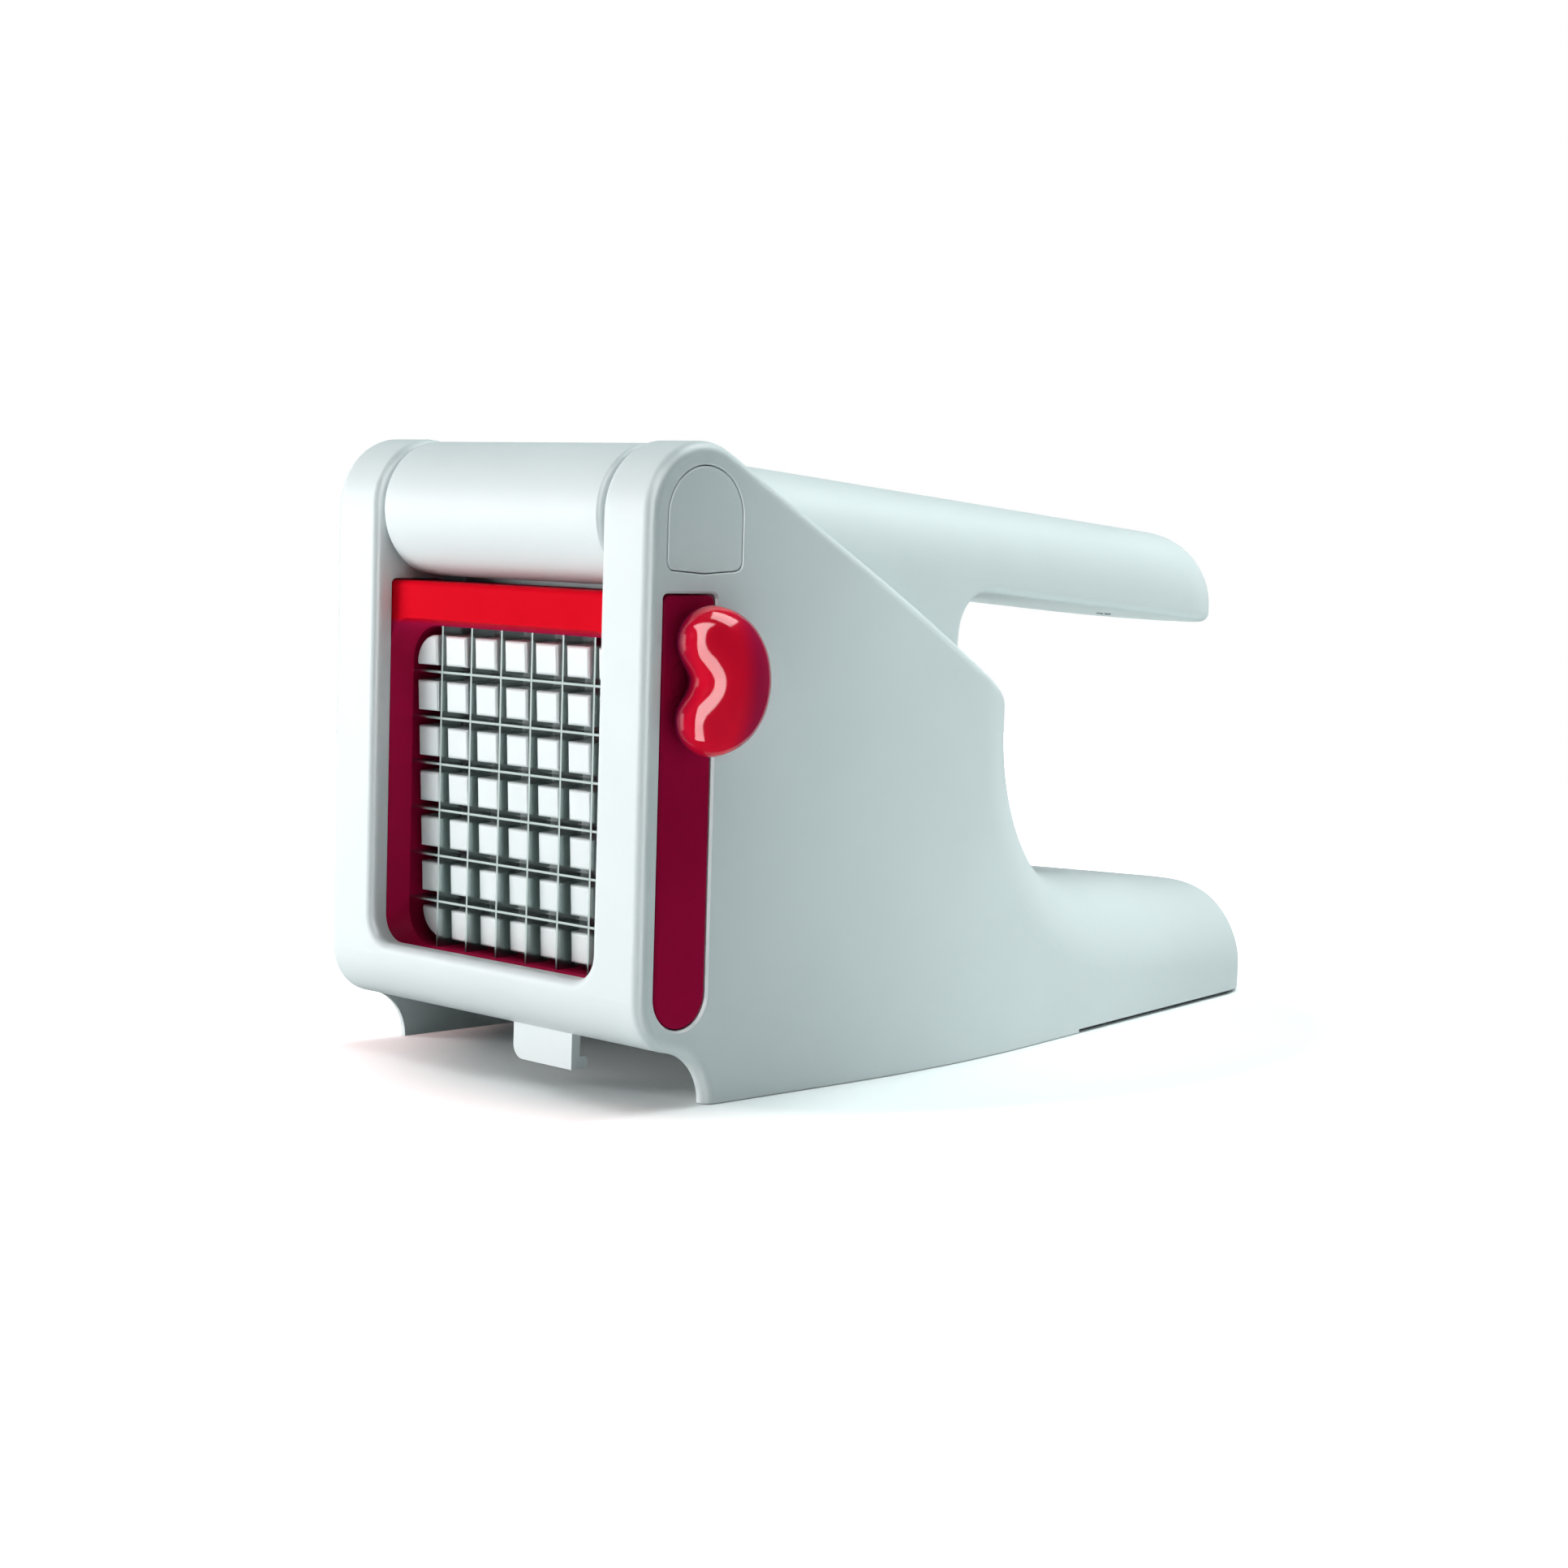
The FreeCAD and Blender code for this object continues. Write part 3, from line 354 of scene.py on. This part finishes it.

# %% [markdown]
# ## The knob's stem
# Under the bean, a stem sits in the end plate and would show as a hole if it were left out. It is a short
# round bar in the plate's darker red, which is partly painted shade, flush with the plate, so a cylinder is
# enough to start from, and a small bevel rounds its rim as the mould does.

# %% Stem
STEM_RADIUS = 4.5 * MM
STEM_RIM = 0.3 * MM
stem_length = plate_high.x - knob_low.x
stem_centre = (plate_high.x - stem_length / 2, (plate_low.y + plate_high.y) / 2, bean_centre.z)
bpy.ops.object.select_all(action="DESELECT")
bpy.ops.mesh.primitive_cylinder_add(radius=STEM_RADIUS, depth=stem_length, vertices=64,
                                    location=stem_centre, rotation=(0, math.radians(90), 0))
stem = place_in_mesh(bpy.context.object)
stem.name = "pull_knob_stem"
rim = stem.modifiers.new("rim", "BEVEL")
rim.width = STEM_RIM
rim.segments = 3
apply_all(stem)
bpy.ops.object.shade_smooth_by_angle(angle=math.radians(35))
stem.data.materials.clear()
stem.data.materials.append(painted_shade_red_abs)
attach(stem, "body")
print("stem:", round(stem_length / MM, 1), "mm long,", len(stem.data.polygons), "faces")

# %% [markdown]
# ## The sheet
# The cutter stands on a wide sheet of matt white paper. Paper is never quite even, so its white clouds a
# little. It has no mirror of its own, and the blades don't show it, so that they stay dark between their
# bright edges.

# %% Sheet
SHEET_SIDE = 1.6
SHEET_DROP = 0.2 * MM
PAPER_CLOUD_MM = 60.0
bpy.ops.object.select_all(action="DESELECT")
bpy.ops.mesh.primitive_plane_add(size=SHEET_SIDE, location=(0, 0, -SHEET_DROP))
sheet = bpy.context.object
sheet.name = "sheet"
paper, paper_tree, paper_shader, paper_place = new_material(
    "paper_matt", roughness=0.9, specular_ior_level=0.0)
fibres = add_node(paper_tree, "ShaderNodeTexNoise", vector=paper_place, scale=grains(PAPER_CLOUD_MM),
                  detail=2.0)
paper_tint = add_node(paper_tree, "ShaderNodeValToRGB", fac=fibres.outputs["Fac"])
paper_tint.color_ramp.elements[0].color = linear("F4F7F7")
paper_tint.color_ramp.elements[1].color = linear("F7FAFA")
paper_tree.links.new(paper_tint.outputs["Color"], paper_shader.inputs["Base Color"])
sheet.data.materials.append(paper)
sheet.visible_glossy = False
print("sheet:", [round(v, 2) for v in sheet.dimensions], "m")

# %% [markdown]
# ## The sheet's glow
# In a studio the sheet runs up behind the object and is lit by itself, so no horizon shows. Here the sheet is
# flat and glows instead. The glow starts outside an ellipse round the body, so that the soft shadow under the
# body stays. Only the camera sees it: if it shone on the body too, the walls would be lit from below.

# %% Glow
SHADOW_HALF = (0.084, 0.124)
SHADOW_SHIFT = (-0.12, 0.02)
GLOW_EDGES = (0.90, 1.28)
paper_shader.inputs["Emission Color"].default_value = (0.66, 0.5, 0.5, 1.0)
squash = add_node(paper_tree, "ShaderNodeMapping", vector=paper_place, location=(*SHADOW_SHIFT, 0.0),
                  scale=(1 / SHADOW_HALF[0], 1 / SHADOW_HALF[1], 1.0))
away = add_node(paper_tree, "ShaderNodeVectorMath", {"operation": "LENGTH"},
                vector=squash.outputs["Vector"])
looked_at = add_node(paper_tree, "ShaderNodeLightPath")
glow = add_node(paper_tree, "ShaderNodeMapRange", {"interpolation_type": "SMOOTHSTEP"},
                value=away.outputs["Value"], from_min=GLOW_EDGES[0], from_max=GLOW_EDGES[1], to_min=0.0,
                to_max=looked_at.outputs["Is Camera Ray"])
paper_tree.links.new(glow.outputs["Result"], paper_shader.inputs["Emission Strength"])
print("glow starts", [round(half * GLOW_EDGES[0], 3) for half in SHADOW_HALF], "m from the middle")

# %% [markdown]
# ## The room
# Beyond the sheet the world is white to the camera. What it sends on the cutter is another matter: a dim cool
# grey for matt surfaces, as from the walls of a studio, and a little less for mirrors.

# %% World
world = bpy.data.worlds.new("studio")
bpy.context.scene.world = world
world.use_nodes = True
room_tree = world.node_tree
seen = add_node(room_tree, "ShaderNodeLightPath")
room = add_node(room_tree, "ShaderNodeMixRGB", fac=seen.outputs["Is Diffuse Ray"], color1=linear("2E3535"),
                color2=linear("2E3838"))
shade = add_node(room_tree, "ShaderNodeMixRGB", fac=seen.outputs["Is Camera Ray"],
                 color1=room.outputs["Color"], color2=(1.0, 1.0, 1.0, 1.0))
room_tree.links.new(shade.outputs["Color"], room_tree.nodes["Background"].inputs["Color"])
print("world:", world.name)

# %% [markdown]
# ## An arched card for the knob's highlight
# A glossy bean shows its surroundings as a mirror does, so its highlights are drawn by what stands round it.
# The long soft line down its front is the picture of a tall lit card that arches over the camera and widens
# at its top. The card is a ring of a wide tube, cut back to its front, and only reflections show it. The lamps
# further on light the pieces but show in no reflection, so the cards alone decide where a highlight falls.

# %% Arched card
CARD_RADIUS = 0.6
CARD_WIDTH = 0.30
CARD_FLARE = 1.6
CARD_BEARING = math.radians(47)
CARD_REACH = math.radians(60)


def lit_card(piece, name, strength):
    """Make a flat piece a lit card that reflections show and nothing else does."""
    piece.name = name
    shine = new_material(name, roughness=0.9, emission_color=(1.0, 1.0, 1.0, 1.0),
                         emission_strength=strength)[0]
    piece.data.materials.append(shine)
    piece.visible_camera = False
    piece.visible_diffuse = False
    piece.visible_shadow = False


bpy.ops.object.select_all(action="DESELECT")
bpy.ops.mesh.primitive_cylinder_add(radius=CARD_RADIUS, depth=CARD_WIDTH, vertices=96,
                                    end_fill_type="NOTHING", rotation=(0, math.radians(90), 0))
arch = place_in_mesh(bpy.context.object)
bpy.ops.object.mode_set(mode="EDIT")
bpy.ops.mesh.select_mode(type="FACE")
bpy.ops.mesh.select_all(action="DESELECT")
bpy.ops.object.mode_set(mode="OBJECT")
for face in arch.data.polygons:
    face.select = face.center.y > -CARD_RADIUS * math.cos(CARD_REACH)
bpy.ops.object.mode_set(mode="EDIT")
bpy.ops.mesh.delete(type="FACE")
bpy.ops.object.mode_set(mode="OBJECT")
for corner in arch.data.vertices:
    height = max(0.0, corner.co.z / (CARD_RADIUS * math.sin(CARD_REACH)))
    corner.co.x *= 1.0 + CARD_FLARE * height ** 4
arch.location = bean_centre
arch.rotation_euler.z = CARD_BEARING
lit_card(place_in_mesh(arch), "arched_card", 8.0)
print("arched card:", len(arch.data.polygons), "faces")

# %% [markdown]
# ## Two flat cards
# A small square card above and behind the knob makes the window-like patch near the bean's top. A large dim
# one at the front left lights the blades' edges, which would otherwise mirror a dark room.

# %% Flat cards
WINDOW_SIDE = 0.34
WINDOW_WAY = Vector((0.30, 0.42, 0.86)).normalized()
bpy.ops.object.select_all(action="DESELECT")
bpy.ops.mesh.primitive_plane_add(size=WINDOW_SIDE, location=bean_centre + WINDOW_WAY * CARD_RADIUS,
                                 rotation=WINDOW_WAY.to_track_quat("Z", "Y").to_euler())
lit_card(place_in_mesh(bpy.context.object), "window_card", 6.0)

bpy.ops.object.select_all(action="DESELECT")
bpy.ops.mesh.primitive_plane_add(size=1.0, location=(-0.95, -1.0, 0.0),
                                 rotation=(math.radians(90), 0, math.radians(-45)))
lit_card(place_in_mesh(bpy.context.object), "front_card", 1.5)

# %% [markdown]
# ## Soft boxes
# A soft box is a lamp behind a wide cloth, and an area light does the same. A ceiling of them lights the sheet
# and all that faces up, and the sheet throws light back on the upright walls. One at the front left and a low
# one before it whiten the front, and three at the rear keep the grip and the tail bright.

# %% Soft boxes
AIM = Vector((0.0, 0.0, 0.06))


def aim(lamp, name, target, power, colour):
    """Turn a lamp to its target and set its light, which no reflection shows."""
    lamp.name = name
    lamp.data.energy = power
    lamp.data.color = linear(colour)[:3]
    lamp.visible_glossy = False
    lamp.rotation_euler = (Vector(target) - lamp.location).to_track_quat("-Z", "Y").to_euler()
    return lamp


def soft_box(name, place, width, height, power, colour, target=AIM):
    bpy.ops.object.light_add(type="AREA", location=place)
    lamp = bpy.context.object
    lamp.data.shape = "RECTANGLE"
    lamp.data.size = width
    lamp.data.size_y = height
    return aim(lamp, name, target, power, colour)


soft_box("ceiling", (0.05, 0.1, 1.7), 1.3, 1.1, 16.4, "F0FFFF")
soft_box("key", (-0.96, -1.06, 0.32), 0.6, 0.8, 10.4, "FFFBFB")
soft_box("low_front", (-0.74, -0.88, 0.08), 0.8, 0.12, 7.4, "FFFFFF")
soft_box("rear", (0.0, 1.31, 0.67), 0.5, 0.5, 2.6, "F0FFFF")
soft_box("high_rear", (0.0, 1.03, 1.09), 0.5, 0.5, 12.8, "F8FFFF")
soft_box("low_rear", (0.2, 0.8, 0.12), 0.4, 0.2, 0.6, "FFFFFF")

# %% [markdown]
# ## Snoots and the knob's own lamp
# A snoot is a tube on a lamp that leaves a soft round patch, as a spot with a full blend does. One brightens
# the side wall towards its upper rear, and one the tail. The body keeps the front-left light off the knob, and
# a lamp strong enough to reach it would spoil the wall, so the knob gets a lamp that is linked to it alone.

# %% Snoots and knob lamp
SNOOT_SIZE = 0.12


def snoot(name, place, target, cone_degrees, power, colour):
    bpy.ops.object.light_add(type="SPOT", location=place)
    lamp = bpy.context.object
    lamp.data.spot_size = math.radians(cone_degrees)
    lamp.data.spot_blend = 1.0
    lamp.data.shadow_soft_size = SNOOT_SIZE
    return aim(lamp, name, target, power, colour)


snoot("side", (1.3, 0.25, 0.35), (0.045, 0.024, 0.106), 5.4, 138.0, "F4FFFE")
snoot("tail", (1.0, 0.9, 0.15), (0.03, 0.10, 0.06), 9.0, 7.0, "FAFFFE")
knob_lamp = soft_box("knob_only", (0.15, -0.85, 0.35), 0.3, 0.3, 2.1, "FFFFFF", bean_centre)
lit_by_it = bpy.data.collections.new("lit_by_knob_lamp")
lit_by_it.objects.link(bean)
knob_lamp.light_linking.receiver_collection = lit_by_it

# %% [markdown]
# ## Camera
# The camera stands in front and to the right, a little above the worktop, and is rolled slightly. Its lens
# comes from the focal length in pixels of a square picture, and its three axes are worked out from the
# bearing, the tilt and the roll, which is easier to follow than three Euler angles.

# %% Camera
IMAGE_SIDE = 1932
FOCAL_PIXELS = 3751.31
SENSOR_MM = 36.0
camera_place = Vector((488.46, -529.09, 119.93)) * MM
azimuth, elevation, roll = (math.radians(a) for a in (45.06, 5.02, 1.68))
level = Vector((math.cos(azimuth), math.sin(azimuth), 0))
back = Vector((math.sin(azimuth) * math.cos(elevation), -math.cos(azimuth) * math.cos(elevation),
               math.sin(elevation)))
upright = back.cross(level)
right = math.cos(roll) * level + math.sin(roll) * upright
up = math.cos(roll) * upright - math.sin(roll) * level

bpy.ops.object.camera_add()
camera = bpy.context.object
camera.name = "portrait"
camera.data.sensor_width = SENSOR_MM
camera.data.lens = FOCAL_PIXELS / IMAGE_SIDE * SENSOR_MM
camera.data.clip_start = 0.01
turn = Matrix((right, up, back)).transposed().to_4x4()
camera.matrix_world = Matrix.Translation(camera_place) @ turn
bpy.context.scene.camera = camera
bpy.context.scene.view_settings.view_transform = "Standard"
print("camera lens", round(camera.data.lens, 2), "mm")
